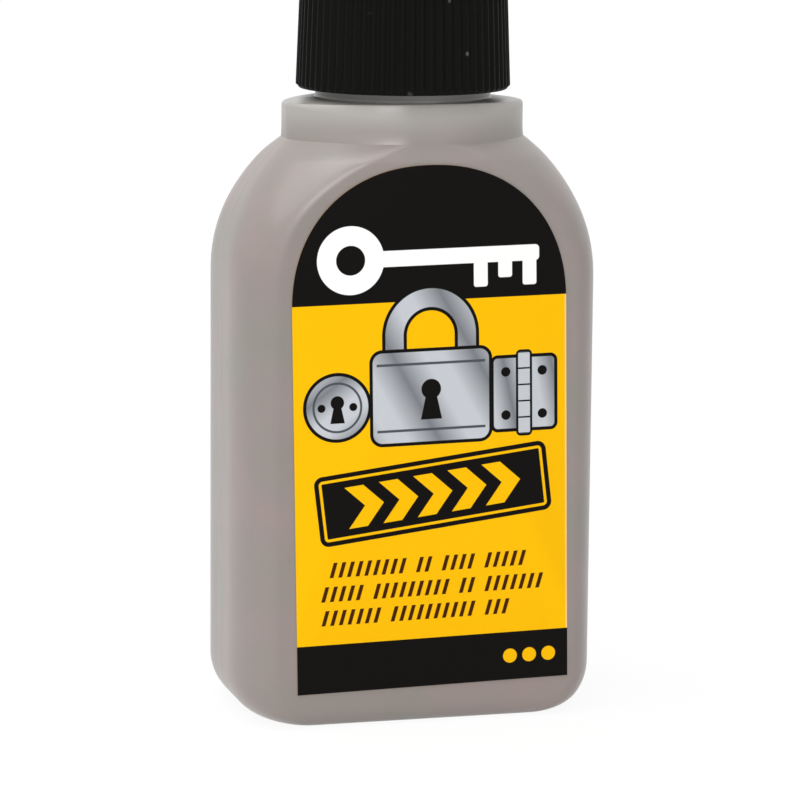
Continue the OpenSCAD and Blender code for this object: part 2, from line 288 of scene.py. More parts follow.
def circle(radius, turns, z):
    """Rows on circles: radius times the cosine and the sine of the angle, at height z."""
    return rows(radius * np.cos(turns), radius * np.sin(turns), z)


def turned(profile, turns):
    """Rings of a profile of radii and heights, one for each of its points."""
    return circle(column(profile[:, 0]), turns, column(profile[:, 1]))


def bridge(first, last, shares):
    """Rings that run from one ring to another, by shares from 0 to 1."""
    shares = shares.reshape(-1, 1, 1)
    return first * (1 - shares) + last * shares


def ring_quads(index):
    """Corners of the quads between neighbouring rings, from the points' numbers."""
    beside = np.roll(index, -1, axis=1)
    return np.stack([index[:-1], beside[:-1], beside[1:], index[1:]], axis=2).reshape(-1, 4)


def skin(name, grid, start=None, end=None):
    """A closed mesh over a grid of rings. Columns run round, and rows run along the profile.

    With a start and an end point, fans of triangles close the first and the last ring on
    them. Without, the last ring joins the first. Faces look outwards when the columns run
    anticlockwise seen from where the rows come up.
    """
    count, around = grid.shape[:2]
    index = np.arange(count * around).reshape(count, around)
    if start is None:
        index = np.concatenate([index, index[:1]])
    quads = ring_quads(index)
    points = grid.reshape(-1, 3)
    triangles = np.empty((0, 3), int)
    if start is not None:
        first = len(points)
        points = np.concatenate([points, [start], [end]])
        beside = np.roll(index, -1, axis=1)
        low = np.stack([np.full(around, first), beside[0], index[0]], axis=1)
        high = np.stack([index[-1], beside[-1], np.full(around, first + 1)], axis=1)
        triangles = np.concatenate([low, high])
    corners = np.concatenate([quads.ravel(), triangles.ravel()])
    sides = np.concatenate([np.full(len(quads), 4), np.full(len(triangles), 3)])
    mesh = bpy.data.meshes.new(name)
    mesh.vertices.add(len(points))
    mesh.vertices.foreach_set("co", points.astype(np.float32).ravel())
    mesh.loops.add(len(corners))
    mesh.loops.foreach_set("vertex_index", corners.astype(np.int32))
    mesh.polygons.add(len(sides))
    mesh.polygons.foreach_set("loop_start", (np.cumsum(sides) - sides).astype(np.int32))
    mesh.update(calc_edges=True)
    mesh.validate()
    mesh.shade_smooth()
    mesh.set_sharp_from_angle(angle=SHARP_EDGE)
    return mesh


def rounded(corners, steps=5, closed=False):
    """A profile whose corners are rounded. A corner is its two coordinates and its fillet.

    The arc's centre lies on the line that halves the corner, at the fillet over the sine of
    half its angle, and its ends lie at the fillet over the tangent of that half angle. The
    arc's points turn evenly from one end to the other.
    """
    points = []
    places = np.array([corner[:2] for corner in corners], float)
    for i, corner in enumerate(corners):
        at, fillet = places[i], corner[2]
        if fillet == 0 or (not closed and i in (0, len(corners) - 1)):
            points.append(at)
            continue
        back = places[i - 1] - at
        ahead = places[(i + 1) % len(corners)] - at
        back = back / np.linalg.norm(back)
        ahead = ahead / np.linalg.norm(ahead)
        half = math.acos(max(-1.0, min(1.0, back @ ahead))) / 2
        middle = (back + ahead) / np.linalg.norm(back + ahead)
        centre = at + middle * fillet / math.sin(half)
        first = at + back * fillet / math.tan(half) - centre
        last = at + ahead * fillet / math.tan(half) - centre
        bend = math.pi - 2 * half
        way = column(np.linspace(0, 1, steps))
        arc = np.sin((1 - way) * bend) * first + np.sin(way * bend) * last
        points.extend(centre + arc / math.sin(bend))
    return np.array(points)


def fine(profile, step):
    """A profile with points added, so that no two neighbours lie further apart than a step."""
    gaps = np.linalg.norm(np.diff(profile, axis=0), axis=1)
    counts = np.maximum(1, np.ceil(gaps / step)).astype(int)
    places = np.repeat(np.arange(len(counts)), counts) + np.concatenate(
        [np.arange(count) / count for count in counts])
    places = np.append(places, len(counts))
    return np.stack([np.interp(places, np.arange(len(profile)), profile[:, i])
                     for i in (0, 1)], axis=1)


def thread_start(bottle, threads):
    """Height at which the neck's thread starts, counted down from its upper end."""
    top = bottle.neck_top - threads.lead
    return top - threads.pitch * (threads.neck_turns + threads.neck_root / 2)


def thread_fill(turns, z, start, count, root, crest, sizes):
    """How full a thread stands at each angle and height, from 0 to 1.

    The phase is the number of turns from the thread's start, in the lap whose middle is the
    nearest to the height. The flank ramps from the root's half width to the crest's, and
    both ends fade out.
    """
    part = turns / TURN
    phase = part + np.round((z - start) / sizes.pitch - part)
    away = np.abs(z - start - sizes.pitch * phase)
    root_half = sizes.pitch * root / 2
    crest_half = sizes.pitch * crest / 2
    flank = unit((root_half - away) / (root_half - crest_half))
    return flank * unit(phase / sizes.fade) * unit((count - phase) / sizes.fade)


# Columns of a quarter of the bottle's outline: along the side's flat, whose first shares
# lie on the parting line, round the corner and along the front panel
SIDE_SHARES = (0.0, 0.015, 0.035, 0.07, 0.4)
CORNER_COLUMNS = 30
PANEL_COLUMNS = 8

# Rings worked out for each part of the bottle, from the base's middle up the outside and
# down the inside. Where two parts meet, one of them leaves the shared ring out.
PAN_ROWS = 22
RECESS_ROWS = 11
BASE_ROWS = 22
SIDE_ROWS = 14
ARCH_ROWS = 60
CREST_ROWS = 20
OVER_ROWS = 11
COLLAR_ROWS = 4
SLOPE_ROWS = 15
LEDGE_ROWS = 7
FILLET_ROWS = 5
NECK_ROWS = 84
CEILING_ROWS = 5
INNER_ARCH_ROWS = 24
INNER_BASE_ROWS = 12

# The power that crowds the pan's rings towards its rim, and the step down the bore
PAN_POWER = 0.8
BORE_STEP = 3 * MM


class BottleForm:
    """The moulded bottle's outline at any height, from its sizes."""

    def __init__(self, sizes):
        self.sizes = sizes
        self.collar_z = sizes.straight_h + sizes.shoulder_h
        self.collar_top = self.collar_z + sizes.collar_h
        self.neck_foot = self.collar_top + sizes.collar_rise
        self.floor_z = sizes.recess + sizes.wall
        self.collar_half = sizes.depth / 2 - sizes.collar_set
        self.neck_r = self.collar_half - sizes.neck_ledge
        self.bore_r = self.neck_r - sizes.neck_wall
        self.panel_half = sizes.width / 2 - sizes.corner_w
        self.panel_top = self.collar_z - sizes.crest_h
        self.arch_z = self.panel_top - self.panel_half

    def shoulder(self, z):
        """How far up the shoulder a height lies, from 0 to 1."""
        return unit((z - self.sizes.straight_h) / self.sizes.shoulder_h)

    def half_width(self, z):
        """Half the width: a quarter of an ellipse at the base, straight, then an arc."""
        s = self.sizes
        base = np.sqrt(1 - (1 - unit(z / s.base_round_h)) ** 2)
        turn = np.arcsin(self.shoulder(z) * math.sin(s.shoulder_turn))
        arc = (1 - np.cos(turn)) / (1 - math.cos(s.shoulder_turn))
        widest = s.width / 2 - s.parting
        return widest - s.base_round_w * (1 - base) - (widest - s.collar_w / 2) * arc

    def half_depth(self, z):
        """Half the depth: the base's edge, straight, then a smooth step in to the collar,
        whose bend is sharper at the panel than at the collar."""
        s = self.sizes
        base = np.sqrt(1 - (1 - unit(z / s.base_edge)) ** 2)
        bend = unit((z - self.collar_z + s.crest_low) / (s.crest_low + s.crest_over))
        crest = 1 - ease(bend ** s.crest_bend)
        return self.collar_half + s.collar_set * crest - s.base_edge * (1 - base)

    def panel_flat(self, z):
        """Half the flat panel's width: straight to the arch, then the height's share raised
        to one power, taken from 1 and raised to another, down to the collar's flat."""
        s = self.sizes
        climb = unit((z - self.arch_z) / (self.collar_z - self.arch_z))
        arch = (1 - climb ** s.arch_round) ** s.arch_fall
        over = s.collar_flat + (self.panel_half - s.collar_flat) * arch
        return np.where(z <= self.arch_z, self.half_width(z) - s.corner_w, over)

    def corner_deep(self, z):
        """Depth of the corner, which takes up the whole side as it nears the collar."""
        s = self.sizes
        full = self.collar_half - s.collar_side
        return s.corner_d + (full - s.corner_d) * self.shoulder(z) ** s.corner_rate

    def outline(self, z, inset_w, inset_d):
        """Outlines at heights z, drawn in by two insets, as two grids of x and y.

        The corner is a superellipse: its reach times the cosine and the sine of the angle,
        raised to 2 over the fullness. At the shoulder the cosine's power grows, which
        sharpens the panel's edge. The quarter is mirrored three times.
        """
        z, inset_w, inset_d = column(z), column(inset_w), column(inset_d)
        side_share = np.concatenate([SIDE_SHARES, np.ones(CORNER_COLUMNS + PANEL_COLUMNS + 1)])
        turn = np.concatenate([np.zeros(len(SIDE_SHARES)), quarter_turn(CORNER_COLUMNS + 1),
                               np.full(PANEL_COLUMNS, math.pi / 2)])
        panel = np.linspace(1, 0, PANEL_COLUMNS + 1)[1:]
        panel_share = np.concatenate([np.ones(len(turn) - PANEL_COLUMNS), panel])
        shoulder = self.shoulder(z)
        power = 2 / (2 - (2 - self.sizes.fullness) * shoulder)
        sharp = power * (1 + self.sizes.panel_edge * np.sqrt(4 * shoulder * (1 - shoulder)))
        flat, deep = self.panel_flat(z), self.corner_deep(z)
        reach_w = self.half_width(z) - flat - inset_w
        reach_d = deep - inset_d
        x = flat * panel_share + reach_w * unit(np.cos(turn)) ** sharp
        y = (self.half_depth(z) - deep) * side_share + reach_d * unit(np.sin(turn)) ** power
        x = np.concatenate([x[:, :-1], -x[:, :0:-1], -x[:, :-1], x[:, :0:-1]], axis=1)
        y = np.concatenate([y[:, :-1], y[:, :0:-1], -y[:, :-1], -y[:, :0:-1]], axis=1)
        return x, y

    def inside(self, z, at, inset):
        """Rows at heights of their own: the outline at height z drawn in all round."""
        x, y = self.outline(z, inset, inset)
        return rows(x, y, column(at))

    def outside(self, z, at, inset=0.0):
        """The same with the mould's parting line, a low ridge along both sides."""
        grid = self.inside(z, at, inset)
        ridge = self.sizes.parting * np.exp(-(grid[:, :, 1] / self.sizes.parting_w) ** 2)
        grid[:, :, 0] += np.sign(grid[:, :, 0]) * ridge
        return grid

    def base_levels(self, count):
        """Heights up the base's corner, by one less the cosine of even angles."""
        return self.sizes.base_round_h * (1 - np.cos(quarter_turn(count)))

    def arch_levels(self, count):
        """Heights up the panel's arch, by the sine of even angles."""
        return self.arch_z + self.panel_half * np.sin(quarter_turn(count))

    def crest_levels(self):
        """Heights from the panel's top to the collar, by the sine of even angles."""
        return self.panel_top + self.sizes.crest_h * np.sin(quarter_turn(CREST_ROWS))[1:]


def base_rings(form):
    """Rings of the pan under the base and of the slope round it, a smooth step down to the
    rim. The pan is the slope's first ring drawn in to its middle. Its pinched seam falls
    off as e raised to minus the fourth power of the depth over the seam's half width."""
    sizes = form.sizes
    slope = np.linspace(0, 1, RECESS_ROWS)
    inset = sizes.stand_w + sizes.recess_slope * (0.5 - slope)
    recess = form.outside(np.zeros(RECESS_ROWS), sizes.recess * (1 - ease(slope)), inset)
    outward = column(np.linspace(0, 1, PAN_ROWS)[1:-1] ** PAN_POWER)
    x, y = recess[0, :, 0] * outward, recess[0, :, 1] * outward
    pinch = np.exp(-(y / sizes.seam_w) ** 4) * ease((sizes.seam_half - abs(x)) / MM)
    return [rows(x, y, sizes.recess - sizes.seam * pinch), recess]


def collar_rings(form):
    """Rings of the collar's walls and of the slope over them, a quarter superellipse that
    is deeper at the front than at the sides."""
    sizes = form.sizes
    z = np.linspace(form.collar_z + sizes.crest_over, form.collar_top - sizes.slope_h,
                    COLLAR_ROWS)[1:]
    bend = quarter_turn(SLOPE_ROWS)[1:]
    inward = 1 - unit(np.cos(bend)) ** sizes.slope_power
    upward = column(np.sin(bend) ** sizes.slope_power)
    x, y = form.outline(np.full(len(bend), form.collar_top), sizes.collar_edge * inward,
                        sizes.slope_d * inward)
    widest_y = form.outline(form.collar_top, 0.0, 0.0)[1]
    front = (widest_y / form.collar_half) ** 2
    drop = sizes.collar_edge + (sizes.slope_h - sizes.collar_edge) * front
    climb = sizes.collar_rise * front * upward
    return [form.outside(z, z), rows(x, y, form.collar_top + climb - drop * (1 - upward))]


def neck_rings(form, threads, rim, turns):
    """Rings from the collar's rim up the neck and down its bore. The ledge eases from the
    rim to a circle, the fillet at the foot is a quarter circle, and the thread adds its
    fill times how far it stands proud to the neck's radius."""
    sizes, edge = form.sizes, form.sizes.neck_edge
    ledge = bridge(rim, circle(column(form.neck_r + edge), turns, form.neck_foot),
                   ease(np.linspace(0, 1, LEDGE_ROWS))[1:-1])
    bend = quarter_turn(FILLET_ROWS)
    foot = circle(form.neck_r + edge * column(1 - np.sin(bend)), turns,
                  form.neck_foot + edge * column(1 - np.cos(bend)))
    z = column(np.linspace(form.neck_foot + edge, sizes.neck_top - edge, NECK_ROWS)[1:])
    fill = thread_fill(turns % TURN, z, thread_start(sizes, threads), threads.neck_turns,
                       threads.neck_root, threads.neck_crest, threads)
    neck = circle(form.neck_r + threads.proud * fill, turns, z)
    mouth = fine(rounded([
        (form.neck_r, sizes.neck_top - 2 * edge, 0),
        (form.neck_r, sizes.neck_top, edge),
        (form.bore_r, sizes.neck_top, edge),
        (form.bore_r, form.collar_top - sizes.wall, 0)]), BORE_STEP)[2:]
    return [ledge, foot, neck, turned(mouth, turns)]


def inner_rings(form, turns):
    """Rings of the inside: evenly from the bore's circle out under the collar, then the
    outline drawn in by the wall, down to the floor."""
    wall = form.sizes.wall
    z = form.collar_top - wall
    ceiling = bridge(circle(column(form.bore_r), turns, z),
                     form.inside([form.collar_top], [z], wall),
                     np.linspace(0, 1, CEILING_ROWS)[1:])
    down = np.concatenate([form.crest_levels()[::-2], form.arch_levels(INNER_ARCH_ROWS)[::-1]])
    base = form.base_levels(INNER_BASE_ROWS)[::-1]
    return [ceiling, form.inside(down, down - wall, wall),
            form.inside(base, base + form.floor_z, wall)]


def bottle_mesh(sizes, threads):
    """The bottle's shell: rings from the middle of the base up the outside, over the neck's
    rim and down the inside to the middle of the floor."""
    form = BottleForm(sizes)
    straight = np.linspace(sizes.base_round_h, form.arch_z, SIDE_ROWS)[1:-1]
    over = form.collar_z + sizes.crest_over * np.linspace(0, 1, OVER_ROWS)[1:]
    z = np.concatenate([form.base_levels(BASE_ROWS), straight, form.arch_levels(ARCH_ROWS),
                        form.crest_levels(), over])
    collar = collar_rings(form)
    rim = collar[-1][-1]
    turns = np.arctan2(rim[:, 1], rim[:, 0])
    grid = np.concatenate([*base_rings(form), form.outside(z, z), *collar,
                           *neck_rings(form, threads, rim, turns), *inner_rings(form, turns)])
    return skin("bottle_shell", grid, (0, 0, sizes.recess - sizes.seam),
                (0, 0, form.floor_z))


# Columns of a rib, the steps along the cap's inside and outside, and how many of the inner
# steps make one in the middle of the ceiling
RIB_COLUMNS = 8
INNER_STEP = 0.36 * MM
OUTER_STEP = 0.65 * MM
CEILING_STEPS = 12


def cap_mesh(sizes, bottle, threads):
    """The cap, from its ceiling down the inside with the thread, round the rim, up the
    ribbed outside and over the top. A rib's height is the hyperbolic tangent of a cosine of
    the angle, which squares the wave off."""
    form = BottleForm(bottle)
    edge = sizes.rim_edge
    bore_r = form.neck_r + threads.proud + threads.clear
    upper_r = form.neck_r + 2 * threads.clear
    core_r = bore_r + sizes.wall
    rim_r = (bore_r + core_r) / 2
    step_z = bottle.neck_top - threads.lead + 2 * threads.clear
    slope = math.tan(sizes.draft)
    top_r = core_r - slope * (sizes.top - sizes.low)
    turns = all_round(sizes.ribs * RIB_COLUMNS)

    inner = fine(rounded([
        (edge, sizes.ceiling, 0),
        (upper_r, sizes.ceiling, edge),
        (upper_r, step_z, edge),
        (bore_r, step_z, edge),
        (bore_r, sizes.low, edge),
        (rim_r, sizes.low, 0)]), INNER_STEP)
    middle = inner[:, 0] < upper_r - edge
    inner = np.concatenate([inner[middle][::CEILING_STEPS], inner[~middle]])
    radius, z = column(inner[:, 0]), column(inner[:, 1])
    start = thread_start(bottle, threads) - threads.pitch * threads.offset
    fill = thread_fill(turns, z, start, threads.cap_turns, threads.cap_root,
                       threads.cap_crest, threads)
    on_wall = (radius > bore_r - edge / 2) & (z > sizes.low + edge)
    inside = circle(radius - (bore_r - upper_r) * fill * on_wall, turns, z)

    foot = sizes.rib_margin + sizes.rib_run
    mark_z = sizes.top - sizes.gate_d
    outer = fine(rounded([
        (rim_r, sizes.low, 0),
        (core_r, sizes.low, edge),
        (core_r - slope * foot, sizes.low + foot, 0),
        (top_r, sizes.top, sizes.edge),
        (sizes.gate, sizes.top, sizes.gate_d / 2),
        (sizes.gate - sizes.gate_d, mark_z, sizes.gate_d / 2),
        (sizes.gate_d, mark_z, 0)], steps=6), OUTER_STEP)[1:]
    radius, z = column(outer[:, 0]), column(outer[:, 1])
    ripple = np.tanh(sizes.rib_square * np.cos(sizes.ribs * turns))
    rib = (1 + ripple / math.tanh(sizes.rib_square)) / 2
    rise = ease((z - sizes.low - sizes.rib_margin) / sizes.rib_run)
    fall = ease((sizes.top - sizes.edge - sizes.rib_margin - z) / sizes.rib_run)
    on_side = radius > top_r - sizes.edge
    outside = circle(radius + sizes.rib * rib * rise * fall * on_side, turns, z)
    return skin("cap_shell", np.concatenate([inside, outside]), (0, 0, sizes.ceiling),
                (0, 0, mark_z))


# Columns of a turned piece
TURNED_COLUMNS = 96


def spout_mesh(sizes, bottle):
    """The spout with its flange and plug: one turned profile with small fillets."""
    top, edge = bottle.neck_top, sizes.edge
    plug_r = BottleForm(bottle).bore_r + sizes.press
    inner_r = plug_r - sizes.plug_wall
    flange_top = top + sizes.flange_t
    profile = rounded([
        (inner_r, SPOUT_LOW.z, edge),
        (plug_r - sizes.press, SPOUT_LOW.z, edge),
        (plug_r, SPOUT_LOW.z + sizes.plug_wall, 0),
        (plug_r, top, 0),
        (SPOUT_HIGH.x, top, edge / 2),
        (SPOUT_HIGH.x, flange_top, edge),
        (sizes.base_r, flange_top, 2 * edge),
        (sizes.tip_r, SPOUT_HIGH.z, 2 * edge),
        (sizes.orifice_r, SPOUT_HIGH.z, edge / 2),
        (sizes.orifice_r, SPOUT_HIGH.z - sizes.orifice_l, edge),
        (sizes.base_r - sizes.wall, flange_top - sizes.flange_t / 2, edge),
        (sizes.base_r - sizes.wall, top, edge),
        (inner_r, top, edge)], closed=True)
    return skin("spout", turned(profile, all_round(TURNED_COLUMNS)))


def disc_mesh(sizes):
    """The sealing disc: a turned profile with rounded edges."""
    edge = sizes.disc_edge
    profile = rounded([(edge, DISC_LOW.z, 0), (DISC_HIGH.x, DISC_LOW.z, edge),
                       (DISC_HIGH.x, DISC_HIGH.z, edge), (edge, DISC_HIGH.z, 0)])
    return skin("sealing_disc", turned(profile, all_round(TURNED_COLUMNS)),
                (0, 0, DISC_LOW.z), (0, 0, DISC_HIGH.z))


# The powder: rings of its foot and its top, how deep the top sinks, how much the waves
# change that, and the power that holds it level at the wall
FOOT_ROWS = 16
TOP_ROWS = 26
SINK = 0.5 * MM
WAVE_SHARE = 0.6
WALL_POWER = 6

# The waves on the powder's top: radians a metre across and in depth, where the swell
# starts, and the ripple's height beside the swell's
SWELL_X = 310
SWELL_Y = 420
SWELL_START = 1.3
RIPPLE_X = 900
RIPPLE_Y = 700
RIPPLE_SHARE = 0.4


def powder_mesh(sizes):
    """The powder: the bottle's inside drawn in a little more, with a settled, uneven top
    whose height is a sum of sines."""
    form = BottleForm(sizes)
    inset = POWDER_LOW.z - sizes.recess
    base = form.base_levels(FOOT_ROWS)
    walls = form.inside(base, base + POWDER_LOW.z, inset)
    x, y = form.outline(POWDER_HIGH.z, inset, inset)
    inward = column(np.linspace(1, 0, TOP_ROWS)[:-1])
    x, y = x * inward, y * inward
    wave = (np.sin(SWELL_X * x + SWELL_START) * np.cos(SWELL_Y * y)
            + RIPPLE_SHARE * np.sin(RIPPLE_X * x - RIPPLE_Y * y))
    settled = SINK * (1 + WAVE_SHARE * wave) * (1 - inward ** WALL_POWER)
    top = rows(x, y, POWDER_HIGH.z - settled)
    return skin("powder_fill", np.concatenate([walls, top]), (0, 0, POWDER_LOW.z),
                (0, 0, float(np.mean(top[-1, :, 2]))))


# Rings over a label's edge, and points along its arch, foot, side and corner
EDGE_ROWS = 4
ARCH_POINTS = 96
FOOT_POINTS = 12
SIDE_POINTS = 14
CORNER_POINTS = 12


def sheet_mesh(name, path, face_y, out_y, edge):
    """A label's sheet: its outline carried from its back to its front, with the front edge
    rounded, and closed on the middle of both faces. The path is an array of x and z."""
    middle = path.mean(axis=0)
    away = path - middle
    apart = np.linalg.norm(away, axis=1, keepdims=True)
    bend = column(quarter_turn(EDGE_ROWS))
    inset = np.concatenate([[[edge], [0.0]], edge * (1 - np.cos(bend))])
    depth = np.concatenate([[[0.0], [0.0]], 1 - edge * (1 - np.sin(bend)) / abs(out_y - face_y)])
    flat = middle + away[None] * (1 - inset[:, :, None] / apart[None])
    grid = rows(flat[:, :, 0], face_y + (out_y - face_y) * depth, flat[:, :, 1])
    return skin(name, grid, (middle[0], face_y, middle[1]), (middle[0], out_y, middle[1]))


def front_label_place(sizes, bottle):
    """Half width, arch height and middle height of the front label."""
    form = BottleForm(bottle)
    half = form.panel_half - sizes.margin
    return half, form.arch_z, (sizes.lift + form.arch_z + half) / 2


def front_label_mesh(sizes, bottle):
    """The front label: straight sides under half a superellipse, whose cosine and sine are
    raised to 2 over its power, turned about its middle."""
    half, arch_z, middle_z = front_label_place(sizes, bottle)
    bend = np.linspace(0, math.pi, ARCH_POINTS)
    power = 2 / sizes.arch_power
    arch_x = half * np.sign(np.cos(bend)) * np.abs(np.cos(bend)) ** power
    arch_up = arch_z + half * np.abs(np.sin(bend)) ** power
    foot = np.linspace(-half, half, FOOT_POINTS)
    side = np.linspace(sizes.lift, arch_z, SIDE_POINTS)[1:-1]
    path = np.stack([
        np.concatenate([foot, np.full(len(side), half), arch_x, np.full(len(side), -half)]),
        np.concatenate([np.full(len(foot), sizes.lift), side, arch_up, side[::-1]])], axis=1)
    path = path - [0, middle_z]
    cosine, sine = math.cos(sizes.tilt), math.sin(sizes.tilt)
    path = path @ np.array([[cosine, sine], [-sine, cosine]])
    return sheet_mesh("label_front", path + [sizes.shift, middle_z], -bottle.depth / 2,
                      -bottle.depth / 2 - sizes.thickness, sizes.edge)


def back_label_mesh(sizes, bottle):
    """The back label: a rectangle with rounded corners, run the other way round."""
    corners = [(BACK_LOW.x, BACK_LOW.z), (BACK_LOW.x, BACK_HIGH.z),
               (BACK_HIGH.x, BACK_HIGH.z), (BACK_HIGH.x, BACK_LOW.z)]
    path = rounded([(x, z, sizes.back_corner) for x, z in corners], CORNER_POINTS, closed=True)
    return sheet_mesh("label_back", path, bottle.depth / 2,
                      bottle.depth / 2 + sizes.thickness, sizes.edge)


# Shading


class Field:
    """A shader socket whose value varies over a surface. Python's operators and the methods
    below add the nodes that work the result out."""

    def __init__(self, socket):
        self.socket = socket

    @staticmethod
    def node(tree, kind, settings=None, inputs=None, output=0):
        """Adds a node: its settings first, then the values or links of its sockets."""
        made = tree.nodes.new(kind)
        for name, value in (settings or {}).items():
            setattr(made, name, value)
        for name, value in (inputs or {}).items():
            target = made.inputs[name]
            if isinstance(value, Field):
                tree.links.new(value.socket, target)
            elif hasattr(value, "__len__") and len(target.default_value) == 4:
                target.default_value = (*tuple(value)[:3], 1.0)
            else:
                target.default_value = value
        return Field(made.outputs[output])

    def math(self, operation, *others, clamp=False):
        """A Math node on this field and others."""
        return Field.node(self.socket.id_data, "ShaderNodeMath",
                          {"operation": operation, "use_clamp": clamp},
                          dict(enumerate((self, *others))))

    def __add__(self, other):
        return self.math("ADD", other)

    __radd__ = __add__

    def __sub__(self, other):
        return self.math("SUBTRACT", other)

    def __rsub__(self, other):
        return self.math("MULTIPLY_ADD", -1.0, other)

    def __mul__(self, other):
        return self.math("MULTIPLY", other)

    __rmul__ = __mul__

    def __truediv__(self, other):
        return self.math("DIVIDE", other)

    def __mod__(self, other):
        return self.math("FLOORED_MODULO", other)

    def __abs__(self):
        return self.math("ABSOLUTE")

    def over(self, other):
        """The larger of two fields."""
        return self.math("MAXIMUM", other)

    def under(self, other):
        """The smaller of two fields."""
        return self.math("MINIMUM", other)

    def between(self, low, high):
        """0 at low and 1 at high, and even in between."""
        step = 1 / (high - low)
        return self.math("MULTIPLY_ADD", step, -low * step, clamp=True)


def hypot(a, b):
    """Length of a vector of two fields."""
    return (a * a + b * b).math("SQRT")


def mixed(first, second, factor):
    """Two colours mixed, each a field or three numbers."""
    return Field.node(factor.socket.id_data, "ShaderNodeMix", {"data_type": "RGBA"},
                      {0: factor, 6: first, 7: second}, output=2)


def plain_material(name, base, roughness, specular=0.5):
    """A material and its Principled shader."""
    material = bpy.data.materials.new(name)
    material.use_nodes = True
    shader = material.node_tree.nodes["Principled BSDF"]
    shader.inputs["Base Color"].default_value = (*base, 1.0)
    shader.inputs["Roughness"].default_value = roughness
    shader.inputs["Specular IOR Level"].default_value = specular
    material.diffuse_color = (*base, 1.0)
    return material, shader


def feed(shader, **links):
    """Links fields to the shader's sockets, whose names are given with underscores."""
    for name, field in links.items():
        shader.id_data.links.new(field.socket, shader.inputs[name.replace("_", " ")])


def object_place(shader):
    """Object coordinates of the surface."""
    return Field.node(shader.id_data, "ShaderNodeTexCoord", output="Object")


def along(vector, axis):
    """One part of a vector: 0 across, 1 in depth, 2 upwards."""
    return Field.node(vector.socket.id_data, "ShaderNodeSeparateXYZ", None, {0: vector}, axis)


def dimmed(tone, kept):
    """A colour of which a share is kept."""
    return tuple(kept * channel for channel in tone)


def cells_of(place, per_metre, output="Distance"):
    """Cells, so many in a metre: the distance to the nearest middle, or a cell's colour."""
    return Field.node(place.socket.id_data, "ShaderNodeTexVoronoi", None,
                      {"Vector": place, "Scale": per_metre}, output)


def noise(place, per_metre, detail=2.0, roughness=0.5, stretch=None):
    """Noise of so many waves in a metre, from 0 to 1."""
    tree = place.socket.id_data
    if stretch:
        place = Field.node(tree, "ShaderNodeMapping", None, {"Vector": place, "Scale": stretch})
    return Field.node(tree, "ShaderNodeTexNoise", None,
                      {"Vector": place, "Scale": per_metre, "Detail": detail,
                       "Roughness": roughness})


def bump(height, distance, strength=0.5):
    """A bumped normal from a height of 0 to 1 times a distance in metres."""
    return Field.node(height.socket.id_data, "ShaderNodeBump", None,
                      {"Strength": strength, "Distance": distance, "Height": height})


# Heights in millimetres over which painted light turns the grey paler at the collar and, for a
# part of it, along the shoulder, and over which dust and painted shade on the neck begin and end
PAINTED_COLLAR_LIGHT = (72.4, 75.2)
PAINTED_SHOULDER_LIGHT = (64, 73)
PAINTED_SHOULDER_SHARE = 0.2
SHADED_DUST_START = (76.9, 77.3)
SHADED_DUST_END = (83.0, 78.5)

# Height of the moulded grain's and of the drawing marks' bump
GRAIN = 0.012 * MM


def bottle_material(finish):
    """Satin grey plastic: clouds of a warmer and a cooler grey, paler towards the collar as
    painted light, graphite dust with the cap's painted shadow round the foot of the neck, a
    faint moulded grain and a roughness that varies a little."""
    material, shader = plain_material("satin_grey_plastic", finish.bottle, roughness=0.3)
    place = object_place(shader)
    clouds = noise(place, 95, detail=3.0, roughness=0.55)
    warm = mixed(finish.bottle, finish.bottle_warm, clouds.between(0.48, 0.66))
    tint = mixed(warm, finish.bottle_cool, clouds.between(0.5, 0.34))
    height = along(place, 2) / MM
    # Painted light: paler grey towards the collar and, for a part, along the shoulder
    pale = (height.between(*PAINTED_COLLAR_LIGHT) * (1 - PAINTED_SHOULDER_SHARE)
            + height.between(*PAINTED_SHOULDER_LIGHT) * PAINTED_SHOULDER_SHARE)
    tint = mixed(tint, finish.collar, pale)
    # Graphite dust round the neck's foot, together with the cap's painted shadow on the neck
    dust_and_cap_shade = height.between(*SHADED_DUST_START) * height.between(*SHADED_DUST_END)
    tint = mixed(tint, finish.powder, dust_and_cap_shade * (clouds * 0.4 + 0.45))
    grain = noise(place, 2600, detail=3.0, roughness=0.6)
    scuffs = noise(place, 420, detail=4.0, roughness=0.6, stretch=(1.0, 1.0, 0.35))
    feed(shader, Base_Color=tint, Roughness=0.25 + scuffs * 0.1,
         Normal=bump(grain, GRAIN))
    return material


# Cells in a metre, of which a few hold a speck of dust
SPECK_CELLS = 420


def cap_material(finish):
    """Black plastic with fine upright drawing marks and a few specks of dust."""
    material, shader = plain_material("black_ribbed_plastic", finish.cap, roughness=0.4,
                                      specular=0.055)
    place = object_place(shader)
    cells = cells_of(place, SPECK_CELLS)
    chance = Field.node(shader.id_data, "ShaderNodeSeparateColor", None,
                        {"Color": cells_of(place, SPECK_CELLS, "Color")})
    speck = cells.between(0.16, 0.08) * chance.between(0.90, 0.94)
    streaks = noise(place, 900, detail=3.0, roughness=0.6, stretch=(1.0, 1.0, 0.05))
    feed(shader, Base_Color=mixed(finish.cap, finish.dust, speck),
         Roughness=0.34 + streaks * 0.2 + speck * 0.3,
         Normal=bump(streaks, GRAIN))
    return material


def spout_material(finish):
    """Off-white plastic, a little cloudy."""
    material, shader = plain_material("off_white_plastic", finish.spout, roughness=0.36)
    place = object_place(shader)
    clouds = noise(place, 300, detail=3.0)
    grain = noise(place, 3000)
    shade = dimmed(finish.spout, 0.92)
    feed(shader, Base_Color=mixed(finish.spout, shade, clouds.between(0.4, 0.7)),
         Roughness=0.30 + clouds * 0.14, Normal=bump(grain, 0.015 * MM))
    return material


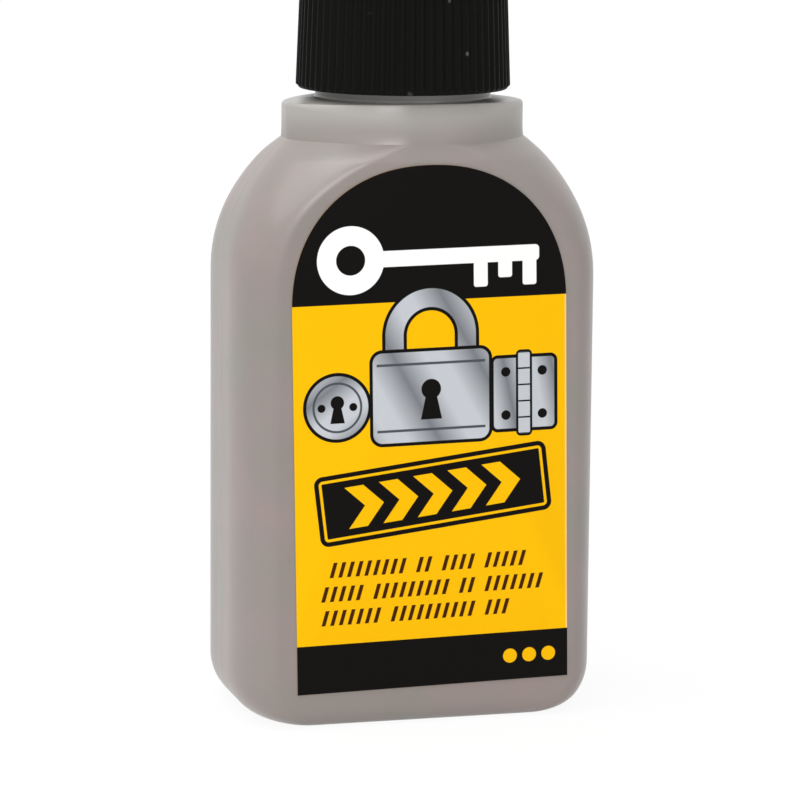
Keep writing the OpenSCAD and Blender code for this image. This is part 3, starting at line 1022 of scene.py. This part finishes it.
def foam_material(finish):
    """White foam with small closed cells."""
    material, shader = plain_material("white_foam", finish.disc, roughness=0.62)
    place = object_place(shader)
    cells = cells_of(place, 3200)
    shade = dimmed(finish.disc, 0.86)
    feed(shader, Base_Color=mixed(finish.disc, shade, cells.between(0.45, 0.1)),
         Roughness=0.56 + cells * 0.12, Normal=bump(cells, 0.05 * MM))
    return material


def powder_material(finish):
    """Graphite powder: dark grey grains with bright flakes."""
    material, shader = plain_material("graphite_powder_grain", finish.powder, roughness=0.5)
    place = object_place(shader)
    grains = noise(place, 4200, detail=4.0, roughness=0.7)
    glint = cells_of(place, 5200).between(0.24, 0.1)
    feed(shader, Base_Color=mixed(finish.powder, finish.powder_glint, glint),
         Metallic=0.25 + glint * 0.6, Roughness=0.62 - glint * 0.3,
         Normal=bump(grains, 0.12 * MM, strength=0.8))
    return material


# Print: fields of distance in millimetres, negative inside a shape. Every place and size
# in the drawings is in millimetres on the label.

# Width over which ink ends, and of the dark line round a drawing
INK_EDGE = 0.05
LINE = 0.42

# A key's bits as distance along the key and half their length, in the key's own unit
KEY_BITS = ((11.6, 1.9), (8.6, 1.4), (5.6, 1.9))
BIT_HALF = 0.85
BIT_CORNER = 0.3


def inked(distance):
    """1 inside a shape, 0 outside and a soft edge in between."""
    return distance.between(INK_EDGE / 2, -INK_EDGE / 2)


def disc(u, v, x, y, radius):
    """Distance to a disc: the length to its middle less its radius."""
    return hypot(u - x, v - y) - radius


def box(u, v, x, y, half_w, half_h, corner=0.0):
    """Distance to a box with rounded corners: the length of what lies past its sides."""
    side = abs(u - x) - (half_w - corner)
    rise = abs(v - y) - (half_h - corner)
    if corner == 0:
        return side.over(rise)
    return hypot(side.over(0.0), rise.over(0.0)) + side.over(rise).under(0.0) - corner


def painted(base, ink, distance):
    """A colour with a shape of ink on it."""
    return mixed(base, ink, inked(distance))


def outlined(base, ink, line, distance, width=LINE):
    """A colour with a shape of ink in a dark outline on it."""
    return painted(painted(base, line, distance - width), ink, distance)


def key_shape(u, v, x, y, size):
    """A plain key lying level: a ring for its bow, a shaft and three bits."""
    bow = abs(disc(u, v, x - 10.2 * size, y, 2.9 * size)) - 1.15 * size
    shaft = box(u, v, x + 2.6 * size, y, half_w=10.2 * size, half_h=0.95 * size,
                corner=0.5 * size)
    shape = bow.under(shaft)
    for away, half in KEY_BITS:
        bit = box(u, v, x + away * size, y - half * size, half_w=BIT_HALF * size,
                  half_h=half * size, corner=BIT_CORNER * size)
        shape = shape.under(bit)
    return shape


def keyhole(u, v, x, y, size):
    """A keyhole: a disc over a slot that widens downwards."""
    slot = (abs(u - x) + (v - y) * 0.22 - 0.42 * size).over(abs(v - y + 1.5 * size) - 1.5 * size)
    return disc(u, v, x, y, size).under(slot)


def metal(u, v, finish, turn, period):
    """Grey ink that runs from light to dark in slanting bands."""
    wave = ((u * math.cos(turn) + v * math.sin(turn)) % period) / period
    ridge = abs(wave - 0.5) * 2
    return mixed(finish.steel, finish.iron, ridge.between(0.25, 1.0) * 0.75)


def padlock(base, u, v, finish, x, y):
    """A padlock: a bow whose legs run into a body with a keyhole and two grooves."""
    grey = metal(u, v, finish, turn=0.5, period=9.0)
    rise = (v - (y + 7.6)).over(0.0)
    bow = abs(hypot(u - x, rise) - 4.6) - 1.15
    bow = bow.over(y - v)
    body = box(u, v, x, y, half_w=7.4, half_h=5.6, corner=1.2)
    base = outlined(base, grey, finish.black, bow)
    base = outlined(base, grey, finish.black, body)
    groove = abs(abs(v - y) - 4.1) - 0.16
    base = painted(base, finish.iron, groove.over(body + 0.5))
    return painted(base, finish.black, keyhole(u, v, x, y + 0.9, 1.25))


def lock_rose(base, u, v, finish, x, y):
    """A round lock plate with a rim, two screws and a keyhole."""
    grey = metal(u, v, finish, turn=2.2, period=7.0)
    base = outlined(base, grey, finish.black, disc(u, v, x, y, 3.9))
    base = painted(base, finish.iron, abs(disc(u, v, x, y, 3.0)) - 0.14)
    screws = hypot(abs(u - x) - 2.0, v - y) - 0.5
    return painted(base, finish.black, screws.under(keyhole(u, v, x, y + 0.6, 0.85)))


# Height of one knuckle of the hinge's barrel
KNUCKLE = 2.04


def hinge(base, u, v, finish, x, y):
    """A butt hinge: two leaves with four screws and a barrel in the middle."""
    grey = metal(u, v, finish, turn=0.2, period=6.0)
    leaves = box(u, v, x, y, half_w=3.9, half_h=4.4, corner=0.5)
    base = outlined(base, grey, finish.black, leaves)
    screws = hypot(abs(u - x) - 2.35, abs(v - y) - 2.7) - 0.6
    base = painted(base, finish.black, screws)
    barrel = box(u, v, x, y, half_w=0.75, half_h=5.1, corner=0.3)
    base = outlined(base, finish.steel, finish.black, barrel, LINE * 0.7)
    joints = abs((v - y) % KNUCKLE - KNUCKLE / 2) - 0.1
    return painted(base, finish.black, joints.over(barrel))


def repeated(place, period):
    """The place within a period that it lies in, counted from the period's middle."""
    return ((place + period / 2) % period) - period / 2


# Distance from arrowhead to arrowhead
ARROW_PERIOD = 4.4


def banner(base, u, v, finish, x, y, turn):
    """A slanted dark banner with a light line round it and whole arrowheads along it."""
    lengthways = (u - x) * math.cos(turn) + (v - y) * math.sin(turn)
    across = (v - y) * math.cos(turn) - (u - x) * math.sin(turn)
    plate = box(lengthways, across, 0.0, 0.0, half_w=14.9, half_h=4.4, corner=1.1)
    base = painted(base, finish.black, plate)
    base = painted(base, finish.yellow, abs(plate + 0.75) - 0.17)
    arrow = lengthways + abs(across) * 0.9 - 1.2
    stripe = abs(repeated(arrow, ARROW_PERIOD)) - 1.2
    inside = (abs(across) - 2.6).over(abs(arrow) - 11.0)
    return painted(base, finish.yellow, stripe.over(inside))


# Distance from stroke to stroke, how far a stroke leans over its height, and the starts
# and ends of the runs of strokes in each row, in whole strokes
STROKE_PERIOD = 1.1
STROKE_LEAN = 0.3
FRONT_RUNS = [
    [(-12, -3), (-2, 0), (1, 5), (6, 11)],
    [(-13, -8), (-7, 2), (3, 5), (6, 13)],
    [(-13, -6), (-5, 5), (6, 9)],
]
BACK_RUNS = [
    [(-12, -7), (-6, 1), (2, 12)],
    [(-12, -3), (-2, 4), (5, 12)],
    [(-12, -9), (-8, -1), (0, 9)],
    [(-12, -5), (-4, 6), (7, 12)],
    [(-12, -7), (-6, 0), (1, 10)],
    [(-12, -1), (0, 5)],
]


def hatched_rows(base, ink, u, v, rows_of_runs, top, pitch, half_h, stroke):
    """Rows of short slanted strokes. A row is a list of runs, each with start and end.

    The stripes repeat along a place that leans with the height. The distance is the place
    off a stroke's middle, less half the stroke.
    """
    for i, runs in enumerate(rows_of_runs):
        up = v - (top - i * pitch)
        lean = u - up * STROKE_LEAN
        shape = None
        for start, end in runs:
            middle, half = (start + end) / 2, (end - start) / 2
            run = abs(lean - middle * STROKE_PERIOD) - half * STROKE_PERIOD
            shape = run if shape is None else shape.under(run)
        stripe = abs(repeated(lean - STROKE_PERIOD / 2, STROKE_PERIOD)) - stroke / 2
        base = painted(base, ink, shape.over(stripe).over(abs(up) - half_h))
    return base


def print_place(place, centre, turn):
    """Millimetres across and up a label, turned with it, from its middle."""
    start = Matrix.Rotation(turn, 3, "Y") @ Vector(centre) / MM
    on_label = Field.node(place.socket.id_data, "ShaderNodeMapping", None, {
        "Vector": place, "Scale": (1 / MM, 1 / MM, 1 / MM),
        "Rotation": (0.0, turn, 0.0), "Location": tuple(-start)})
    return along(on_label, 0), along(on_label, 2)


# Depths under the printed face between which a label's edge takes paper colour with painted
# shade
CUT_START = 0.03
CUT_END = 0.05


def label_material(name, finish, artwork, centre, turn, face_y):
    """Coated paper with a printed artwork, a cut edge with painted shade and a faint waviness.
    """
    material, shader = plain_material(name, finish.yellow, roughness=0.4, specular=0.06)
    place = object_place(shader)
    u, v = print_place(place, centre, turn)
    print_colour = artwork(u, v + centre[2] / MM)
    cut = (abs(along(place, 1)) / MM).between(face_y / MM - CUT_START, face_y / MM - CUT_END)
    waves = noise(place, 260)
    grain = noise(place, 3500)
    # The cut edge takes paper colour darkened with painted shade
    feed(shader, Base_Color=mixed(print_colour, finish.paper_edge_shade, cut),
         Roughness=0.36 + grain * 0.1 + cut * 0.2,
         Normal=bump(waves + grain * 0.05, 0.03 * MM))
    return material


# Middles of the front label's drawings
KEY_AT = (0.6, 58.4)
ROSE_AT = (-11.9, 40.4)
HINGE_AT = (11.9, 41.0)
PADLOCK_AT = (0.0, 41.2)
BANNER_AT = (0.2, 29.0)
DOTS_AT = (12.4, 7.8)
BANNER_TURN = math.radians(6.0)
DOT_PERIOD = 2.5
# Width of the worn strip along the front label's right edge, and how pale it is
WORN_W = 0.22
WORN_TONE = 0.4
WORN_SHARE = 0.55


def front_artwork(finish, half, top, sizes):
    """The front print: a dark arch with a key, a yellow field with a padlock, a lock plate,
    a hinge, a banner and rows of slanted strokes, and a dark foot bar with dots."""
    field_low = (sizes.lift + sizes.foot_bar) / MM
    field_high = (top - sizes.arch_field) / MM
    field_z = (field_low + field_high) / 2
    pale = tuple(WORN_TONE + (1 - WORN_TONE) * channel for channel in finish.yellow)

    def artwork(u, v):
        field = abs(v - field_z) - (field_high - field_low) / 2
        ground = mixed(finish.black, finish.yellow, inked(field))
        edge = inked((half / MM - WORN_W) - u) * inked(field_low - v) * inked(v - field_high)
        ground = mixed(ground, pale, edge * WORN_SHARE)
        ground = painted(ground, finish.white, key_shape(u, v, *KEY_AT, size=1.04))
        ground = lock_rose(ground, u, v, finish, *ROSE_AT)
        ground = hinge(ground, u, v, finish, *HINGE_AT)
        ground = padlock(ground, u, v, finish, *PADLOCK_AT)
        ground = banner(ground, u, v, finish, *BANNER_AT, BANNER_TURN)
        ground = hatched_rows(ground, finish.brown, u, v, FRONT_RUNS, top=20.2, pitch=3.0,
                              half_h=0.95, stroke=0.5)
        dots_x, dots_z = DOTS_AT
        dots = hypot(repeated(u - dots_x, DOT_PERIOD), v - dots_z) - 0.9
        return painted(ground, finish.yellow, dots.over(abs(u - dots_x) - 3.7))

    return artwork


# Heights of the back label's bars at its foot and its top, how far its key and its rows lie
# under its top, and how far its empty frame lies over its foot
BACK_FOOT_BAR = 4.6
BACK_TOP_BAR = 8.2
BACK_KEY_UNDER = 3.8
BACK_ROWS_UNDER = 13.0
BACK_FRAME_OVER = 9.2


def back_artwork(finish, sizes):
    """The back print: a yellow field with a key, rows of slanted strokes, dark bars and an
    empty frame."""
    low = sizes.lift / MM
    high = BACK_HIGH.z / MM

    def artwork(u, v):
        bars = (v - (low + BACK_FOOT_BAR)).under(high - BACK_TOP_BAR - v)
        ground = mixed(finish.yellow, finish.black, inked(bars))
        key = key_shape(u, v, 0.0, high - BACK_KEY_UNDER, size=0.72)
        ground = painted(ground, finish.white, key)
        ground = hatched_rows(ground, finish.brown, u, v, BACK_RUNS,
                              top=high - BACK_ROWS_UNDER, pitch=3.1, half_h=0.8, stroke=0.45)
        border = box(u, v, 0.0, low + BACK_FRAME_OVER, half_w=13.0, half_h=2.2, corner=0.5)
        return painted(ground, finish.black, abs(border) - 0.15)

    return artwork


# Pieces


def place_piece(context, mesh, material, body, node):
    """Links a piece that stands for a node of the frame, rides on a body and has a slot."""
    mesh.materials.append(material)
    piece = bpy.data.objects.new(mesh.name, mesh)
    context.scene.collection.objects.link(piece)
    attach(piece, body)
    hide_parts(node)
    return piece


class POWDER_OT_bottle(Operator):
    """Build the moulded bottle with its collar, neck, thread and inside"""

    bl_idname = "powder_bottle.bottle"
    bl_label = "Bottle"

    def execute(self, context):
        settings = context.scene.powder_bottle
        mesh = bottle_mesh(settings.bottle, settings.thread)
        place_piece(context, mesh, bottle_material(settings.finish), "bottle",
                    "bottle_body")
        return {"FINISHED"}


class POWDER_OT_spout(Operator):
    """Build the spout with its flange and its plug"""

    bl_idname = "powder_bottle.spout"
    bl_label = "Spout"

    def execute(self, context):
        settings = context.scene.powder_bottle
        mesh = spout_mesh(settings.spout, settings.bottle)
        place_piece(context, mesh, spout_material(settings.finish), "bottle",
                    "nozzle_insert")
        return {"FINISHED"}


class POWDER_OT_cap(Operator):
    """Build the ribbed screw cap with the thread inside it"""

    bl_idname = "powder_bottle.cap"
    bl_label = "Screw Cap"

    def execute(self, context):
        settings = context.scene.powder_bottle
        mesh = cap_mesh(settings.cap, settings.bottle, settings.thread)
        place_piece(context, mesh, cap_material(settings.finish), "cap",
                    "screw_cap")
        return {"FINISHED"}


class POWDER_OT_disc(Operator):
    """Build the sealing disc under the cap's ceiling"""

    bl_idname = "powder_bottle.disc"
    bl_label = "Sealing Disc"

    def execute(self, context):
        settings = context.scene.powder_bottle
        mesh = disc_mesh(settings.spout)
        place_piece(context, mesh, foam_material(settings.finish), "sealing_disc",
                    "cap_liner")
        return {"FINISHED"}


class POWDER_OT_labels(Operator):
    """Build the printed front and back labels"""

    bl_idname = "powder_bottle.labels"
    bl_label = "Labels"

    def execute(self, context):
        settings = context.scene.powder_bottle
        sizes, finish, bottle = settings.label, settings.finish, settings.bottle
        half, arch_z, middle_z = front_label_place(sizes, bottle)
        face = bottle.depth / 2 + sizes.thickness
        front = label_material(
            "front_print", finish, front_artwork(finish, half, arch_z + half, sizes),
            (sizes.shift, 0.0, middle_z), sizes.tilt, face)
        place_piece(context, front_label_mesh(sizes, bottle), front, "bottle",
                    "front_label")
        back = label_material("back_print", finish, back_artwork(finish, sizes),
                              (0.0, 0.0, middle_z), 0.0, face)
        place_piece(context, back_label_mesh(sizes, bottle), back, "bottle",
                    "back_label")
        return {"FINISHED"}


class POWDER_OT_powder(Operator):
    """Build the graphite powder inside the bottle"""

    bl_idname = "powder_bottle.powder"
    bl_label = "Powder"

    def execute(self, context):
        settings = context.scene.powder_bottle
        place_piece(context, powder_mesh(settings.bottle), powder_material(settings.finish),
                    "bottle", "graphite_powder")
        return {"FINISHED"}


# Stage

CAMERA_AT = Vector((-127.31, -459.60, 118.90)) * MM
CAMERA_AIM = Vector((-0.15, -0.49, 38.65)) * MM
CAMERA_ROLL = math.radians(0.495)
LENS_MM = 172.8
SENSOR_MM = 36.0
CLIP_NEAR = 0.01
CLIP_FAR = 20.0

# Suns as the place that they shine from, power, angle and colour
WHITE = (1.0, 1.0, 1.0)
WARM_WHITE = (1.0, 0.995, 0.985)
BROAD = math.radians(55)
LAMPS = {
    "top_sun": ((0.0, 0.0, 1.0), 1.30, BROAD, WHITE),
    "high_sun": ((-0.50, 0.0, 0.87), 1.20, BROAD, WARM_WHITE),
    "front_sun": ((-0.42, -0.73, 0.53), 0.32, BROAD, WHITE),
    "streak_sun": ((-0.28, -0.76, 0.59), 0.80, math.radians(26), WHITE),
}
LAMP_AIM = Vector((0.0, 0.0, 0.05))
WORLD_LIGHT = 0.26

# The floor's size, its columns and rings, the share at which the first ring starts, its
# tone and how much of its white is its own light
FLOOR_RADIUS = 3.0
FLOOR_COLUMNS = 64
FLOOR_ROWS = 16
FLOOR_MIDDLE = 0.05
FLOOR_TONE = (0.97, 0.97, 0.97)
FLOOR_OWN_LIGHT = 0.93


def turned_to(place, aim, roll=0.0):
    """Turn of a lamp or camera at a place that looks at a point, rolled about its view."""
    look = (aim - place).to_track_quat("-Z", "Y").to_matrix()
    return (look @ Matrix.Rotation(roll, 3, "Z")).to_euler()


def background_rays(tree):
    """1 for rays that show the background: camera, glossy and transmission rays."""
    rays = [Field.node(tree, "ShaderNodeLightPath", output=name)
            for name in ("Is Camera Ray", "Is Glossy Ray", "Is Transmission Ray")]
    return rays[0].over(rays[1]).over(rays[2])


def white_world(scene):
    """A world that lights softly and shows as white."""
    world = bpy.data.worlds.new("studio_world")
    world.use_nodes = True
    tree = world.node_tree
    soft = tree.nodes["Background"]
    soft.inputs["Color"].default_value = (*WHITE, 1.0)
    soft.inputs["Strength"].default_value = WORLD_LIGHT
    white = Field.node(tree, "ShaderNodeBackground", None, {"Color": WHITE, "Strength": 1.0})
    both = Field.node(tree, "ShaderNodeMixShader", None,
                      {0: background_rays(tree), 1: Field(soft.outputs[0]), 2: white})
    tree.links.new(both.socket, tree.nodes["World Output"].inputs["Surface"])
    scene.world = world


def floor_mesh():
    """A flat disc on z = 0: rings whose radius grows as the cube of their number."""
    radii = FLOOR_RADIUS * column(np.linspace(FLOOR_MIDDLE, 1, FLOOR_ROWS)) ** 3
    points = circle(radii, all_round(FLOOR_COLUMNS), 0.0).reshape(-1, 3)
    index = np.arange(len(points)).reshape(FLOOR_ROWS, FLOOR_COLUMNS)
    quads = ring_quads(index)[:, ::-1]
    mesh = bpy.data.meshes.new("studio_floor")
    mesh.from_pydata(points.tolist(), [], [*quads.tolist(), index[0].tolist()])
    return mesh


def floor_material():
    """A white floor that keeps a soft shadow: its own white and its lit white mixed."""
    material, shader = plain_material("white_floor", FLOOR_TONE, roughness=0.9, specular=0.0)
    tree = material.node_tree
    glow = Field.node(tree, "ShaderNodeEmission", None, {"Color": WHITE, "Strength": 1.0})
    both = Field.node(tree, "ShaderNodeMixShader", None,
                      {0: background_rays(tree) * FLOOR_OWN_LIGHT,
                       1: Field(shader.outputs[0]), 2: glow})
    tree.links.new(both.socket, tree.nodes["Material Output"].inputs["Surface"])
    return material


class POWDER_OT_stage(Operator):
    """Build the floor, the lamps, the world and the camera"""

    bl_idname = "powder_bottle.stage"
    bl_label = "Stage"

    def execute(self, context):
        scene = context.scene
        white_world(scene)
        mesh = floor_mesh()
        mesh.materials.append(floor_material())
        floor = bpy.data.objects.new("studio_floor", mesh)
        scene.collection.objects.link(floor)
        for name, (place, power, spread, tone) in LAMPS.items():
            lamp = bpy.data.lights.new(name, "SUN")
            lamp.energy, lamp.angle, lamp.color = power, spread, tone
            holder = bpy.data.objects.new(name, lamp)
            holder.location = place
            holder.rotation_euler = turned_to(Vector(place), LAMP_AIM)
            scene.collection.objects.link(holder)
        camera = bpy.data.cameras.new("photo_camera")
        camera.lens, camera.sensor_width = LENS_MM, SENSOR_MM
        camera.clip_start, camera.clip_end = CLIP_NEAR, CLIP_FAR
        holder = bpy.data.objects.new("photo_camera", camera)
        holder.location = CAMERA_AT
        holder.rotation_euler = turned_to(CAMERA_AT, CAMERA_AIM, CAMERA_ROLL)
        scene.collection.objects.link(holder)
        scene.camera = holder
        scene.view_settings.view_transform = "Standard"
        return {"FINISHED"}


class POWDER_PT_panel(Panel):
    """Lists the bottle's pieces and settings"""

    bl_idname = "POWDER_PT_panel"
    bl_label = "Powder Bottle"
    bl_space_type = "VIEW_3D"
    bl_region_type = "UI"
    bl_category = "Powder Bottle"

    def draw(self, context):
        layout = self.layout
        for operator in OPERATORS:
            layout.operator(operator.bl_idname)
        settings = context.scene.powder_bottle
        for group in (settings.bottle, settings.thread, settings.cap, settings.spout,
                      settings.label, settings.finish):
            listed = layout.box().column()
            for name in group.__annotations__:
                listed.prop(group, name)


OPERATORS = (POWDER_OT_bottle, POWDER_OT_spout, POWDER_OT_cap, POWDER_OT_disc,
             POWDER_OT_labels, POWDER_OT_powder, POWDER_OT_stage)
CLASSES = (BottleSizes, ThreadSizes, CapSizes, SpoutSizes, LabelSizes, Finishes,
           PowderBottle, *OPERATORS, POWDER_PT_panel)


def register():
    """Registers the classes and the scene's settings."""
    for cls in CLASSES:
        bpy.utils.register_class(cls)
    bpy.types.Scene.powder_bottle = PointerProperty(type=PowderBottle)


def unregister():
    """Takes the settings and the classes away again."""
    del bpy.types.Scene.powder_bottle
    for cls in reversed(CLASSES):
        bpy.utils.unregister_class(cls)


def main():
    """Builds every piece and the stage."""
    register()
    bpy.ops.powder_bottle.bottle()
    bpy.ops.powder_bottle.spout()
    bpy.ops.powder_bottle.cap()
    bpy.ops.powder_bottle.disc()
    bpy.ops.powder_bottle.labels()
    bpy.ops.powder_bottle.powder()
    bpy.ops.powder_bottle.stage()


if __name__ == "__main__":
    main()
